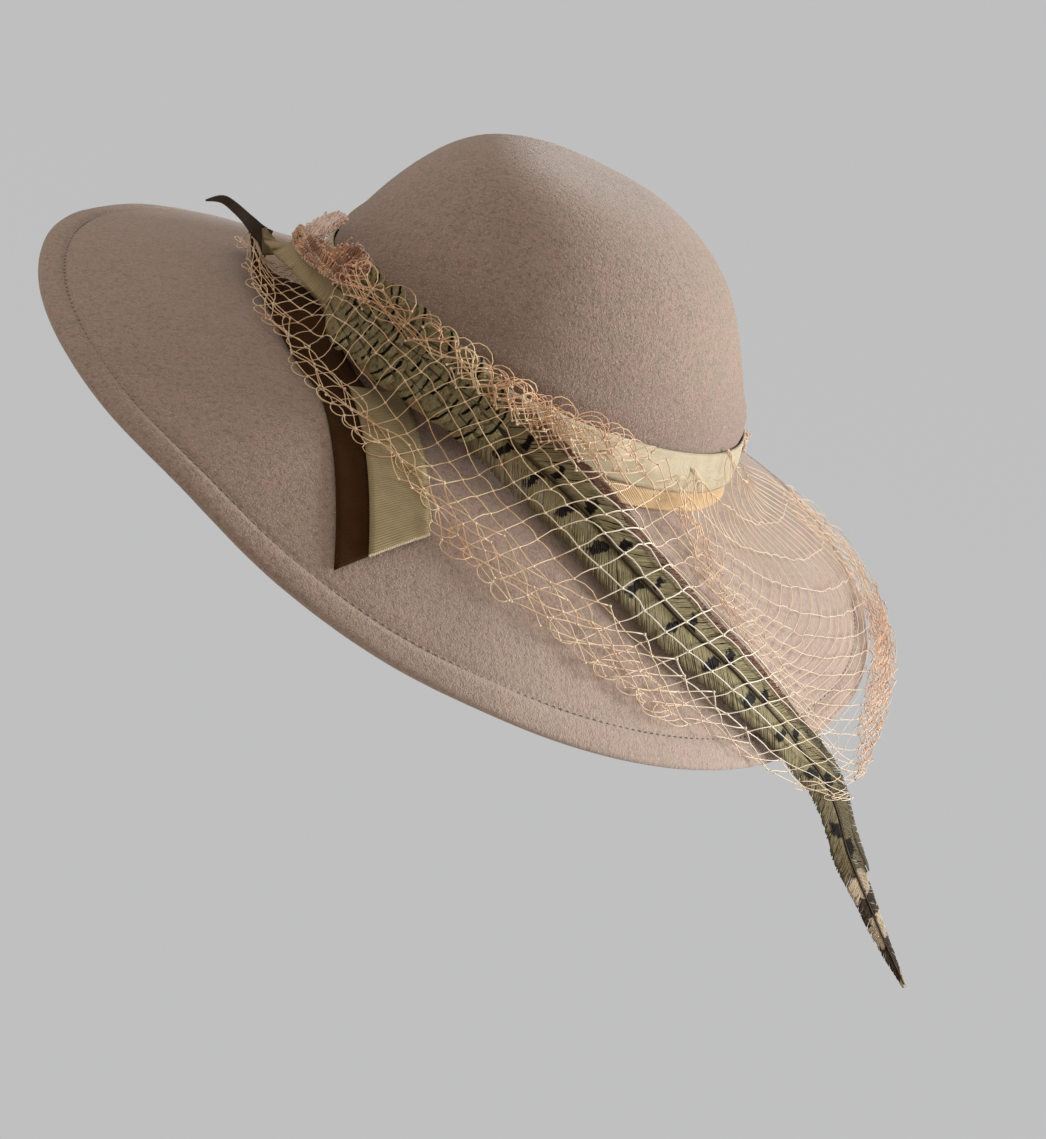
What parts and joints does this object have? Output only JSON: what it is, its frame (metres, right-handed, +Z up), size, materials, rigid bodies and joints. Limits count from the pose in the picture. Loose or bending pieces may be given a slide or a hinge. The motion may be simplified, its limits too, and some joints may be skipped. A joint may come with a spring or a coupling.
{
  "type": "wide-brim felt hat",
  "caption": "Wide-brim felt hat with a round crown, two-tone hatband, ribbon tails, a long barred tail feather and a coarse net veil draped over the front of the brim.",
  "frame": {"origin": "middle of the head opening, at the height where the crown turns into the brim, where a head carries the hat", "axes": "+Z up the crown, -Y to the front of the hat, +X to the wearer's left"},
  "size_m": [0.4182, 0.3767, 0.2187],
  "materials": {
    "felt": "mottled pinkish-brown wool felt with a short nap",
    "ribbon_cream": "cream grosgrain ribbon with a soft sheen",
    "ribbon_tan": "tan-gold ribbon with a soft sheen",
    "ribbon_gold": "dull gold grosgrain ribbon, ribbed across",
    "ribbon_brown": "dark brown velvet-like ribbon",
    "feather_barred": "olive-buff pheasant feather with dark bars",
    "feather_rust": "reddish-brown feather",
    "veil": "peach-cream net of fine thread"
  },
  "bodies": {
    "root": {"felt_body": "felt", "hatband_lower": "ribbon_tan", "hatband_upper": "ribbon_cream", "ribbon_tail_brown": "ribbon_brown", "ribbon_tail_gold": "ribbon_gold", "tail_feather_long": "feather_barred", "tail_feather_second": "feather_barred", "tail_feather_rust": "feather_rust", "body_feather_1": "feather_barred", "body_feather_2": "feather_barred", "body_feather_3": "feather_barred", "body_feather_4": "feather_barred", "bow_loop_gold": "ribbon_gold", "bow_loop_brown": "ribbon_brown", "ribbon_pointed_end": "ribbon_brown", "veil_gather_right": "veil", "veil_gather_left": "veil", "veil_net": "veil"}
  },
  "joints": []
}
